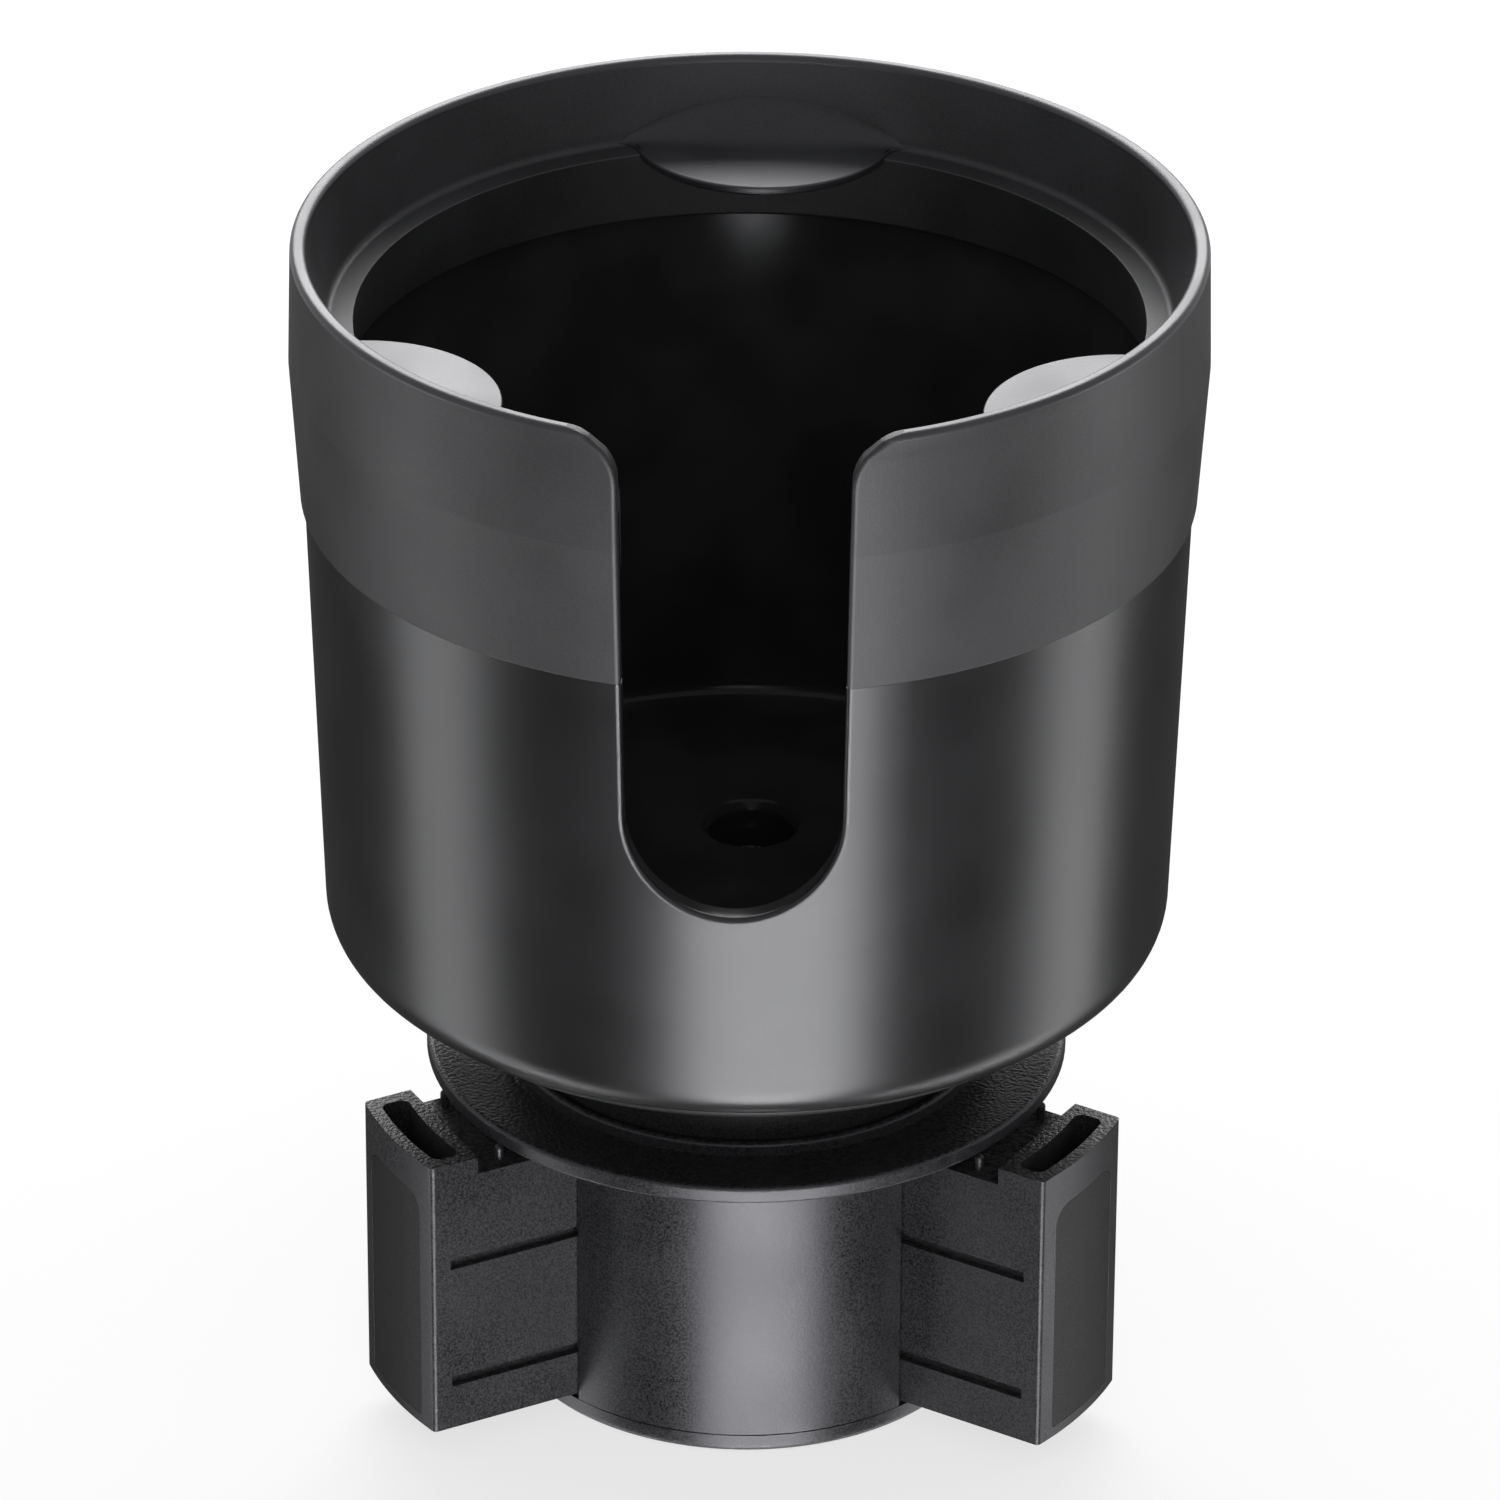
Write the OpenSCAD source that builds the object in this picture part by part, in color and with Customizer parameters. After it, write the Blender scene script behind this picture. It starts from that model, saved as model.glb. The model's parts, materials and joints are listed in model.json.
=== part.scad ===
// Cup holder expander: a wide cup with a soft collar and a handle slot, on a drum
// whose three legs spread and draw in when the cup is turned. Millimetres, +Z up,
// origin at the middle of the underside. The slot faces -Y. The legs are spread.

/* [Overall] */
// Height of the whole expander, floor to rim
total_h = 153; // [140:0.5:190]
// Outer radius of the cup wall at its foot
cup_r = 52.1; // [48:0.1:64]
// Height of the dish's underside above the floor
base_h = 42; // [36:0.5:52]
// Height of the cup's foot above the dish's underside
neck_rise = 15.8; // [14:0.1:22]

/* [Cup] */
// Lean of the cup wall, in degrees
cup_draft = 1.84; // [0.5:0.01:3]
// Thickness of the cup wall
cup_wall = 3; // [2.6:0.1:4]
// Thickness of the cup floor
floor_t = 3; // [2:0.1:5]
// Radius of the outer edge round the cup's foot
foot_round = 6; // [3:0.1:8]
// Radius of the inner corner round the floor
floor_round = 2; // [1:0.1:4]
// Depth of the recess in the foot that the neck plate locates in
recess_h = 2.4; // [1:0.1:2.5]
// Width of the foot outside that recess
recess_rim = 7.1; // [6:0.1:10]

/* [Collar] */
// Height of the collar below the rim
collar_h = 33; // [24:0.5:50]
// Depth of the wall's step that the collar fills
collar_step = 1.15; // [0.8:0.05:1.4]
// How far the collar stands proud of the wall at its lower edge
proud_low = 0.5; // [0:0.05:1.5]
// How far it stands proud at its belly
proud_belly = 1.1; // [0:0.05:2]
// How far it stands proud under the lip
proud_rim = 0.25; // [0:0.05:1.5]
// Distance from the rim down to the belly
belly_drop = 15; // [8:0.5:20]
// Thickness of the collar's rim
lip_w = 2; // [1.6:0.1:4]
// Radius of the rim's edges
lip_round = 0.8; // [0.3:0.05:0.8]
// Distance from the rim down to the ledge inside
ledge_drop = 10.1; // [6:0.1:16]
// Width of the ledge
ledge_w = 3.35; // [1.5:0.05:4]
// Thickness of the ledge over the wall's top
ledge_t = 1.2; // [0.8:0.1:2]
// Thickness of the inner skirt at the ledge
skirt_top_t = 4; // [2:0.1:5]
// Thickness of the inner skirt at its lower edge
skirt_low_t = 2.25; // [1.5:0.05:3]
// Height of the inner skirt below the ledge
skirt_h = 9.8; // [5:0.1:20]
// Radius of the three tabs' outline
tab_r = 16.6; // [10:0.1:20]
// How far a tab reaches in from the skirt
tab_reach = 12.4; // [6:0.1:16]
// Thickness of a tab
tab_t = 1.1; // [0.8:0.1:2]
// Height of a tab's top above the ledge
tab_rise = 0.4; // [0:0.1:0.7]
// Radius of the concave corners where a tab meets the wall
tab_root = 2; // [0.5:0.1:3]

/* [Handle slot] */
// Width of the slot at the top of its round end
slot_w = 25.8; // [18:0.1:36]
// Lean of the slot's sides, in degrees
slot_flare = 0.9; // [0:0.1:5]
// Depth of the slot below the rim
slot_depth = 63.9; // [45:0.1:75]
// Radius of the corners where the slot meets the rim
slot_corner = 6.5; // [2:0.1:10]

/* [Neck] */
// Wall of the neck tube
neck_wall = 2.4; // [1.6:0.1:3]
// Thickness of the neck plate under the cup
plate_t = 1.8; // [1.4:0.1:3]
// How far the neck plate lies inside the wall's outer radius
plate_inset = 5.3; // [3:0.1:6]
// Radius of the plate's lower edge
plate_edge = 1.4; // [0.3:0.1:1.4]
// Wall of the screw sockets that the wells' bosses stand in
socket_wall = 1.5; // [1.2:0.1:2.5]
// Space between the screw sockets and the neck wall
socket_inset = 1.9; // [0.5:0.1:4]
// Thickness of the web at the bottom of a socket
socket_web = 2.2; // [1.5:0.1:3]

/* [Screw wells] */
// Radius of a screw well in the cup floor
well_r = 5.3; // [4:0.1:6.5]
// Width of the bevel round a well's mouth
well_bevel = 1.2; // [0:0.1:2]
// Wall of the boss round a well
well_wall = 2.2; // [1.5:0.1:3]
// Depth of the well's bottom below the cup floor
well_depth = 7; // [5:0.1:9]
// Thickness of the boss's bottom
well_bottom = 1.5; // [1.2:0.1:3]

/* [Dish and drum] */
// How far the dish stands out from the drum
dish_overhang = 9.7; // [5:0.1:14]
// Height of the dish's rim above its underside
dish_rise = 2.3; // [1.8:0.1:4]
// Thickness of the dish at its middle
dish_t = 1; // [0.8:0.1:1.5]
// Radius of the dish's outer edges
dish_edge = 0.6; // [0.2:0.1:0.8]
// Width of the flat top of the dish's rim
dish_rim_w = 0.7; // [0.4:0.05:1]
// Width of the flat floor between the lip and the dish's slope
trough_w = 0.9; // [0.5:0.1:2]
// Height of the lip round the neck above the dish's underside
lip_h = 2.7; // [2.2:0.1:4]
// Thickness of that lip
lip_t = 1.2; // [0.8:0.1:1.6]
// How far the drum stands out from the neck
drum_margin = 1.7; // [1.5:0.1:4]
// Wall of the drum
drum_wall = 1.8; // [1.4:0.1:2.4]
// Thickness of the towers' roofs
roof_t = 1.5; // [1:0.1:2.5]

/* [Bottom cap] */
// Thickness of the bottom cap
cap_t = 2.8; // [2.8:0.1:5]
// How far the cap lies inside the drum
cap_inset = 0.3; // [0:0.1:1]
// Radius of the cap's lower edge
cap_edge = 1; // [0.3:0.1:1.5]
// Height of the seam between the cap and the drum
seam_h = 0.35; // [0.2:0.05:0.6]
// Depth of that seam
seam_d = 0.6; // [0.3:0.1:1]
// Depth of the recess for the centre washer
cap_recess = 2; // [1.8:0.1:2.2]
// Radius of that recess
cap_recess_r = 7; // [5.6:0.1:9]

/* [Legs] */
// Width of a leg
leg_w = 18.7; // [14:0.1:22.4]
// How far a spread leg stands out of the drum
leg_reach = 19.3; // [16:0.1:24]
// How far a leg draws in
leg_travel = 15; // [8:0.1:18]
// Thickness of the raised block at a leg's outer end
block_t = 7.3; // [6:0.1:9]
// How far a leg's top is lowered inside the block
leg_drop = 2.3; // [1.5:0.1:4]
// Height of a leg above the bottom cap
leg_lift = 0.7; // [0.3:0.05:1]
// Space between the stem and a leg that is drawn in
leg_clear = 0.7; // [0.5:0.1:2]
// Wall left round the hollows in a leg
leg_wall = 2; // [1.5:0.1:3]
// Wall left at a leg's inner end, which holds the follower pin
leg_end_t = 4.6; // [4:0.1:6]
// Height of the side grooves
groove_h = 1.45; // [1.2:0.05:2]
// Depth of the side grooves
groove_d = 1; // [0.6:0.05:1.5]
// Height of the lower grooves above the floor
groove_low = 9.5; // [6:0.1:14]
// Distance from the dish's underside down to the upper grooves
groove_high_drop = 15.6; // [12:0.1:20]
// Distance from the towers' inner corners to the ribs that run in the grooves
rib_start = 4; // [2:0.5:8]
// How far a rib runs into the tower's wall
rib_bite = 0.3; // [0.2:0.1:1]
// Distance from a leg's outer face to the grooves' outer ends
groove_stop = 3.4; // [2:0.1:6]
// Radius of the two posts on a leg
post_r = 0.55; // [0.4:0.05:0.8]
// How far the posts end below the top of the block
post_drop = 0.1; // [0:0.05:0.5]
// Distance from the block to the posts
post_back = 3.8; // [2:0.1:6]
// Distance from a leg's side to its posts
post_inset = 1.85; // [1:0.05:3]

/* [Leg pocket and pad] */
// Rim left outside the pocket in a leg's top
pocket_rim = 1.7; // [1.4:0.1:3]
// Width of the pocket
pocket_w = 3.6; // [2:0.1:4.4]
// Distance from the pocket's ends to the leg's sides
pocket_inset = 1.75; // [1:0.05:4]
// Depth of the pocket
pocket_depth = 10; // [3:0.1:16]
// Radius of the pocket's corners
pocket_corner = 1.2; // [0.5:0.1:1.7]
// Thickness of the grip pad
pad_t = 0.9; // [0.6:0.1:1]
// Strip of the leg left on each side of the pad
pad_side = 2.75; // [1.5:0.05:5]
// Height of the pad's lower edge above the floor
pad_low = 4.9; // [4.2:0.1:10]
// Distance from the dish's underside down to the pad's upper edge
pad_drop = 5.6; // [3:0.1:12]
// Radius of the pad's upper corners
pad_corner = 2.7; // [1:0.1:4]

/* [Cam] */
// Turn of the cup that draws the legs right in, in degrees
turn = 180; // [150:5:190]
// Turn that the slots leave beyond each end, in degrees
over_turn = 4; // [2:1:8]
// Thickness of the cam plate
cam_t = 2.2; // [1.8:0.1:3]
// How far the cam plate hangs below the dish's underside
cam_drop = 0.2; // [0.1:0.05:0.3]
// Width of the cam plate outside the slots' outer ends
cam_rim = 4.6; // [3:0.1:7]
// Radius of the stem
stem_r = 4.6; // [4:0.1:6]
// Radius of the journal in the bottom cap
journal_r = 3; // [2.4:0.1:3.6]
// Radius of the steel follower pins
pin_r = 1.3; // [1:0.05:1.6]
// Length of the follower pins
pin_l = 12.6; // [8:0.1:16]
// How far the follower pins end below the cam plate's top
pin_sink = 0.4; // [0.2:0.1:1]
// Distance from a leg's inner end to its follower pin
pin_back = 2.2; // [1.8:0.1:3]

/* [Screws and washers] */
// Radius of the cup screws' heads
cup_head_r = 3; // [2.5:0.1:3.6]
// Thickness of the cup screws' heads
cup_head_h = 2; // [1.2:0.1:3]
// Radius of the cup screws' shanks
cup_screw_r = 1.4; // [1:0.1:1.7]
// Length of the cup screws' shanks
cup_screw_l = 10; // [8:0.5:12]
// Radius of the small screws' heads
small_head_r = 2.3; // [2:0.1:2.6]
// Radius of the small screws' shanks
small_screw_r = 1; // [0.8:0.1:1.2]
// Length of the small screws' shanks
small_screw_l = 9; // [6:0.5:10]
// Thickness of the small screws' heads
small_head_h = 1.1; // [0.8:0.1:1.2]
// How far the cap screws' heads lie inside the cap's underside
head_sink = 0.4; // [0.2:0.1:0.7]
// Radius of the centre washer
washer_r = 6.2; // [4.8:0.1:8]
// Thickness of the centre washer
washer_t = 0.8; // [0.5:0.1:0.8]
// Thickness of the centre screw's head
centre_head_h = 0.7; // [0.5:0.1:0.8]
// Length of the centre screw's shank
centre_screw_l = 16; // [10:0.5:24]
// Thickness of the slip ring under the stem
ring_t = 0.5; // [0.4:0.05:0.8]
// How far the small screws' bosses run into the wall beside them
boss_bite = 0.7; // [0.5:0.1:1]
// Wall of the bosses that the screws bite in
boss_wall = 2.1; // [1.4:0.1:2.6]

/* [Fits] */
// Gap between pieces that are fixed together
fit_gap = 0.05; // [0.02:0.01:0.15]
// Gap between the soft collar and the wall it grips
soft_gap = 0.1; // [0.05:0.01:0.2]
// Gap round a screw's shank or head in the piece that it holds
screw_gap = 0.2; // [0.1:0.05:0.4]
// Gap round what turns
turn_gap = 0.3; // [0.2:0.05:0.5]
// Gap on each side of what slides
slide_gap = 0.3; // [0.2:0.05:0.5]
// Gap over the legs, under the dish
top_gap = 0.5; // [0.4:0.05:0.8]
// Gap round a follower pin in its cam slot
cam_gap = 0.2; // [0.15:0.05:0.4]

/* [Hidden] */
$fn = 96;

REAR = 90;
LEFT = 210;
RIGHT = 330;
LEG_ANGLES = [REAR, LEFT, RIGHT];
TOWER_ANGLES = [30, 150, 270];
HALF_SECTOR = 60;
ARC_STEPS = 10;
OVER = 1;
EPS = 0.001;
CROSS_L = 1.2;
CROSS_W = 0.28;

// Legs and cam, from the axis outwards
leg_in = stem_r + leg_clear + leg_travel;
pin_at = leg_in + pin_back;
cam_half = pin_r + cam_gap;
neck_r = pin_at + cam_half + cam_rim;
drum_r = neck_r + drum_margin;
leg_r = drum_r + leg_reach;
leg_half = leg_w / 2;
channel_half = leg_half + slide_gap;
block_in = leg_r - block_t;
groove_end = leg_r - groove_stop;
cam_pitch = leg_travel / (turn * PI / 180);

// Levels, from the floor up
stem_low = cap_t + ring_t;
leg_low = cap_t + leg_lift;
leg_top = base_h - top_gap;
leg_deck = leg_top - leg_drop;
cam_low = base_h - cam_drop;
cam_top = cam_low + cam_t;
pin_top = cam_top - pin_sink;
plate_low = base_h + neck_rise;
foot_z = plate_low + plate_t;
floor_low = foot_z + recess_h;
floor_z = floor_low + floor_t;
well_z = floor_z - well_depth;
boss_low = well_z - well_bottom;
socket_z = boss_low - turn_gap;
ledge_z = total_h - ledge_drop;
shell_top = ledge_z - ledge_t - soft_gap;
step_z = total_h - collar_h - soft_gap;
collar_low = total_h - collar_h;
belly_z = total_h - belly_drop;
lip_z = total_h - lip_round;
groove_high = base_h - groove_high_drop;
cap_head_z = small_head_h + head_sink;
slot_z = total_h - slot_depth + slot_w / 2;

// Radii of the neck, the dish and the small parts
socket_in_r = well_r + well_wall + turn_gap;
socket_out_r = socket_in_r + socket_wall;
well_at = neck_r - neck_wall - socket_out_r - socket_inset;
plate_r = cup_r - plate_inset;
recess_r = cup_r - recess_rim;
hole_r = neck_r + turn_gap;
dish_r = drum_r + dish_overhang;
cap_r = drum_r - cap_inset;
small_boss_r = small_screw_r + boss_wall;
cap_screw_at = drum_r - drum_wall - small_boss_r + boss_bite;
cam_screw_at = neck_r - neck_wall - small_boss_r + boss_bite;
cam_screw_turn = 45;
washer_top = cap_recess - turn_gap;

// Outer and inner radius of the cup wall at a height
function wall_out(z) = cup_r + tan(cup_draft) * (z - foot_z);
function wall_in(z) = wall_out(z) - cup_wall;
// Points of an arc, angles in degrees
function arc(c, r, from, to) =
    [for (i = [0:ARC_STEPS]) c + r * [cos(from + (to - from) * i / ARC_STEPS), sin(from + (to - from) * i / ARC_STEPS)]];
// Centre of a round between a level and the leaning wall
function corner_at(z, r, wall) = [wall - r / cos(cup_draft), z + r];
// Radius of a cam slot's middle, and a point on its edge
function cam_mid(a) = pin_at + leg_travel * a / turn;
function cam_edge(a, side) =
    let (r = cam_mid(a), s = side * cam_half / norm([r, cam_pitch]))
    [(r + s * r) * cos(a) + s * cam_pitch * sin(a), (r + s * r) * sin(a) - s * cam_pitch * cos(a)];

module at_angles(angles, out = 0) {
    for (a = angles) rotate(a) translate([out, 0, 0]) children();
}

module rod(r, low, high) {
    translate([0, 0, low]) cylinder(r = r, h = high - low);
}

// A screw with its head up and its shank below z = 0
module screw(head_r, head_h, shank_r, shank_l) {
    cross_l = head_r * CROSS_L;
    cross_w = head_r * CROSS_W;
    difference() {
        union() {
            cylinder(r = head_r, h = head_h);
            rod(shank_r, -shank_l, head_h / 2);
        }
        for (a = [0, 90])
            rotate(a) translate([-cross_l / 2, -cross_w / 2, head_h / 2]) cube([cross_l, cross_w, head_h]);
    }
}

// Distance from the axis to a slot side at a height, moved out by a radius
function slot_side(z, out) =
    (slot_w / 2 + out + (z - slot_z) * sin(slot_flare)) / cos(slot_flare);

// The handle slot, cut from the front to the axis
module slot_cut() {
    corner_z = total_h - slot_corner;
    corner_x = slot_side(corner_z, slot_corner);
    low = [slot_w / 2 * cos(slot_flare), slot_z - slot_w / 2 * sin(slot_flare)];
    high = [corner_x - slot_corner * cos(slot_flare), corner_z + slot_corner * sin(slot_flare)];
    rotate([90, 0, 0]) linear_extrude(cup_r * 2) {
        translate([0, slot_z]) circle(r = slot_w / 2);
        polygon([[-low[0], low[1]], low, high, [-high[0], high[1]]]);
        difference() {
            translate([-corner_x, high[1]]) square([corner_x * 2, total_h + OVER - high[1]]);
            for (side = [-1, 1]) translate([side * corner_x, corner_z]) circle(r = slot_corner);
        }
    }
}

module cup_shell() {
    outer_c = corner_at(foot_z, foot_round, wall_out(foot_z + foot_round));
    inner_c = corner_at(floor_z, floor_round, wall_in(floor_z + floor_round));
    color("#2e2f33") difference() {
        union() {
            rotate_extrude() polygon(concat(
                [[0, floor_low], [recess_r, floor_low], [recess_r, foot_z]],
                arc(outer_c, foot_round, -90, -cup_draft),
                [[wall_out(step_z), step_z], [wall_out(step_z) - collar_step, step_z]],
                [[wall_out(shell_top) - collar_step, shell_top], [wall_in(shell_top), shell_top]],
                arc(inner_c, floor_round, -cup_draft, -90),
                [[0, floor_z]]
            ));
            at_angles(LEG_ANGLES, well_at) rod(well_r + well_wall, boss_low, floor_z);
        }
        at_angles(LEG_ANGLES, well_at) {
            rod(well_r, well_z, floor_z + OVER);
            rod(cup_screw_r + screw_gap, boss_low - OVER, floor_z);
            translate([0, 0, floor_z - well_bevel])
                cylinder(r1 = well_r, r2 = well_r + well_bevel + EPS, h = well_bevel + EPS);
        }
        slot_cut();
    }
}

// Outline of a tab that points at the axis from +X, with concave corners at the wall
module tab_outline(wall_r, tab_at) {
    in_r = wall_r - tab_root;
    spread = acos((pow(in_r, 2) + pow(tab_at, 2) - pow(tab_r + tab_root, 2)) / (2 * in_r * tab_at));
    translate([tab_at, 0]) circle(r = tab_r);
    for (side = [-1, 1]) difference() {
        polygon([
            [tab_at, 0],
            in_r * [cos(spread), side * sin(spread)],
            (wall_r + OVER) * [cos(spread), side * sin(spread)]
        ]);
        translate(in_r * [cos(spread), side * sin(spread)]) circle(r = tab_root);
    }
}

module grip_collar() {
    skirt_r = wall_in(ledge_z) - skirt_top_t;
    skirt_low = ledge_z - skirt_h;
    lip_out = wall_out(lip_z) + proud_rim;
    tab_at = skirt_r - tab_reach + tab_r;
    color("#3a3b3e") difference() {
        union() {
            rotate_extrude() polygon(concat(
                [
                    [wall_out(collar_low) - collar_step + soft_gap, collar_low],
                    [wall_out(collar_low) + proud_low, collar_low],
                    [wall_out(belly_z) + proud_belly, belly_z]
                ],
                arc([lip_out - lip_round, lip_z], lip_round, 0, 90),
                arc([lip_out - lip_w + lip_round, lip_z], lip_round, 90, 180),
                [
                    [skirt_r + ledge_w, ledge_z],
                    [skirt_r, ledge_z],
                    [wall_in(skirt_low) - skirt_low_t, skirt_low],
                    [wall_in(skirt_low) - soft_gap, skirt_low],
                    [wall_in(shell_top) - soft_gap, shell_top + soft_gap],
                    [wall_out(shell_top) - collar_step + soft_gap, shell_top + soft_gap]
                ]
            ));
            translate([0, 0, ledge_z + tab_rise - tab_t]) linear_extrude(tab_t) intersection() {
                circle(r = skirt_r + ledge_w);
                at_angles(LEG_ANGLES) tab_outline(skirt_r + ledge_w, tab_at);
            }
        }
        slot_cut();
    }
}

module neck() {
    boss_top = socket_z - socket_web + OVER;
    boss_end = 0.8;
    hole_low = well_z - cup_screw_l - screw_gap;
    color("#242528") difference() {
        union() {
            rotate_extrude() polygon(concat(
                [[0, plate_low]],
                arc([plate_r - plate_edge, plate_low + plate_edge], plate_edge, -90, 0),
                [[plate_r, foot_z], [0, foot_z]]
            ));
            rod(recess_r - turn_gap, foot_z - OVER, floor_low);
            rod(neck_r, cam_top, plate_low + OVER);
        }
        difference() {
            rod(neck_r - neck_wall, cam_top - OVER, plate_low);
            at_angles(LEG_ANGLES, well_at) rod(socket_out_r, socket_z - socket_web, foot_z);
            at_angles(LEG_ANGLES, well_at) rod(cup_screw_r + boss_wall, hole_low - boss_end, boss_top);
            at_angles(LEG_ANGLES + [1, 1, 1] * cam_screw_turn, cam_screw_at)
                rod(small_boss_r, cam_top - 2 * OVER, cam_top + small_screw_l);
        }
        at_angles(LEG_ANGLES, well_at) {
            rod(socket_in_r, socket_z, floor_low + OVER);
            rod(cup_screw_r + fit_gap, hole_low, foot_z);
        }
        at_angles(LEG_ANGLES + [1, 1, 1] * cam_screw_turn, cam_screw_at)
            rod(small_screw_r + fit_gap, cam_top - OVER, cam_top + small_screw_l - boss_end);
    }
}

module cup_screws() {
    color("silver") at_angles(LEG_ANGLES, well_at) translate([0, 0, well_z])
        screw(cup_head_r, cup_head_h, cup_screw_r, cup_screw_l);
}

module cam_slot() {
    points = [for (a = [-turn - over_turn:over_turn:over_turn]) a];
    translate([0, 0, cam_low - OVER]) linear_extrude(cam_t + 2 * OVER) {
        polygon(concat(
            [for (a = points) cam_edge(a, 1)],
            [for (i = [len(points) - 1:-1:0]) cam_edge(points[i], -1)]
        ));
        for (a = [points[0], points[len(points) - 1]])
            rotate(a) translate([cam_mid(a), 0]) circle(r = cam_half);
    }
}

module cam_plate() {
    color("#6d6f73") difference() {
        union() {
            rod(neck_r, cam_low, cam_top);
            rod(stem_r, stem_low, cam_top);
            rod(journal_r, washer_top, stem_low + OVER);
        }
        at_angles(LEG_ANGLES) cam_slot();
        at_angles(LEG_ANGLES + [1, 1, 1] * cam_screw_turn, cam_screw_at) {
            rod(small_screw_r + screw_gap, cam_low - OVER, cam_top + OVER);
            rod(small_head_r + screw_gap, cam_low - OVER, cam_low + small_head_h);
        }
        rod(small_screw_r + fit_gap, washer_top - OVER, washer_top + centre_screw_l + OVER);
    }
}

module cam_screws() {
    color("silver") at_angles(LEG_ANGLES + [1, 1, 1] * cam_screw_turn, cam_screw_at)
        translate([0, 0, cam_low + small_head_h]) mirror([0, 0, 1])
            screw(small_head_r, small_head_h, small_screw_r, small_screw_l - 1);
}

module centre_washer() {
    color("silver") difference() {
        rod(washer_r, washer_top - washer_t, washer_top);
        rod(small_screw_r + fit_gap, 0, washer_top + OVER);
    }
}

module centre_screw() {
    color("silver") translate([0, 0, washer_top - washer_t]) mirror([0, 0, 1])
        screw(small_head_r, centre_head_h, small_screw_r, centre_screw_l);
}

module slip_ring() {
    color("#d8d5c8") difference() {
        rod(stem_r, cap_t, stem_low);
        rod(journal_r + turn_gap, 0, stem_low + OVER);
    }
}

// The drum's outline between the leg channels, shrunk by a wall
module towers(wall) {
    difference() {
        circle(r = drum_r - wall);
        circle(r = stem_r);
        at_angles(LEG_ANGLES) translate([0, -channel_half - wall])
            square([drum_r + OVER, (channel_half + wall) * 2]);
    }
}

module guide_ribs() {
    rib_in = channel_half / tan(HALF_SECTOR) + rib_start;
    wall_end = sqrt(drum_r * drum_r - channel_half * channel_half);
    rib_out = min(wall_end - slide_gap, groove_end - leg_travel - slide_gap);
    at_angles(LEG_ANGLES) for (side = [0, 1], z = [groove_low, groove_high])
        mirror([0, side, 0]) translate([rib_in, leg_half - groove_d + slide_gap, z + slide_gap])
            cube([rib_out - rib_in, groove_d + rib_bite, groove_h - 2 * slide_gap]);
}

module dish() {
    rim_in = dish_r - dish_rim_w;
    trough_in = hole_r + lip_t;
    rotate_extrude() polygon(concat(
        [[hole_r, base_h]],
        arc([dish_r - dish_edge, base_h + dish_edge], dish_edge, -90, 0),
        arc([dish_r - dish_edge, base_h + dish_rise - dish_edge], dish_edge, 0, 90),
        [[rim_in, base_h + dish_rise], [trough_in + trough_w, base_h + dish_t], [trough_in, base_h + dish_t]],
        arc([hole_r + lip_t / 2, base_h + lip_h - lip_t / 2], lip_t / 2, 0, 180)
    ));
}

module base_housing() {
    color("#2f3034") {
        difference() {
            union() {
                translate([0, 0, cap_t]) linear_extrude(leg_top - cap_t) towers(0);
                translate([0, 0, leg_top - OVER]) linear_extrude(top_gap + OVER + dish_t / 2) difference() {
                    towers(0);
                    circle(r = hole_r);
                }
                dish();
            }
            difference() {
                translate([0, 0, cap_t - OVER]) linear_extrude(leg_top - roof_t - cap_t + OVER)
                    towers(drum_wall);
                at_angles(TOWER_ANGLES, cap_screw_at) rod(small_boss_r, 0, leg_top);
            }
            at_angles(TOWER_ANGLES, cap_screw_at)
                rod(small_screw_r + fit_gap, 0, cap_t + small_screw_l);
        }
        guide_ribs();
    }
}

module bottom_cap() {
    color("#2a2b2e") difference() {
        rotate_extrude() polygon(concat(
            [[0, 0]],
            arc([cap_r - cap_edge, cap_edge], cap_edge, -90, 0),
            [[cap_r, cap_t - seam_h], [cap_r - seam_d, cap_t - seam_h], [cap_r - seam_d, cap_t], [0, cap_t]]
        ));
        rod(cap_recess_r, -OVER, cap_recess);
        rod(journal_r + turn_gap, -OVER, cap_t + OVER);
        at_angles(TOWER_ANGLES, cap_screw_at) {
            rod(small_head_r + screw_gap, -OVER, cap_head_z);
            rod(small_screw_r + screw_gap, -OVER, cap_t + OVER);
        }
    }
}

module cap_screws() {
    color("silver") at_angles(TOWER_ANGLES, cap_screw_at)
        translate([0, 0, cap_head_z]) mirror([0, 0, 1])
            screw(small_head_r, small_head_h, small_screw_r, small_screw_l);
}

// Outline of a leg's grip pad, seen from outside, standing on the YZ plane
module pad_cut(grow, inner_r) {
    half = leg_half - pad_side + grow;
    low = pad_low - grow;
    high = base_h - pad_drop + grow;
    intersection() {
        difference() {
            rod(leg_r + grow, low - OVER, high + OVER);
            rod(inner_r, low - 2 * OVER, high + 2 * OVER);
        }
        rotate([90, 0, 90]) linear_extrude(leg_r + OVER) {
            translate([-half, low]) square([half * 2, high - low - pad_corner]);
            translate([pad_corner - half, low]) square([(half - pad_corner) * 2, high - low]);
            for (side = [-1, 1])
                translate([side * (half - pad_corner), high - pad_corner]) circle(r = pad_corner);
        }
    }
}

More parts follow.
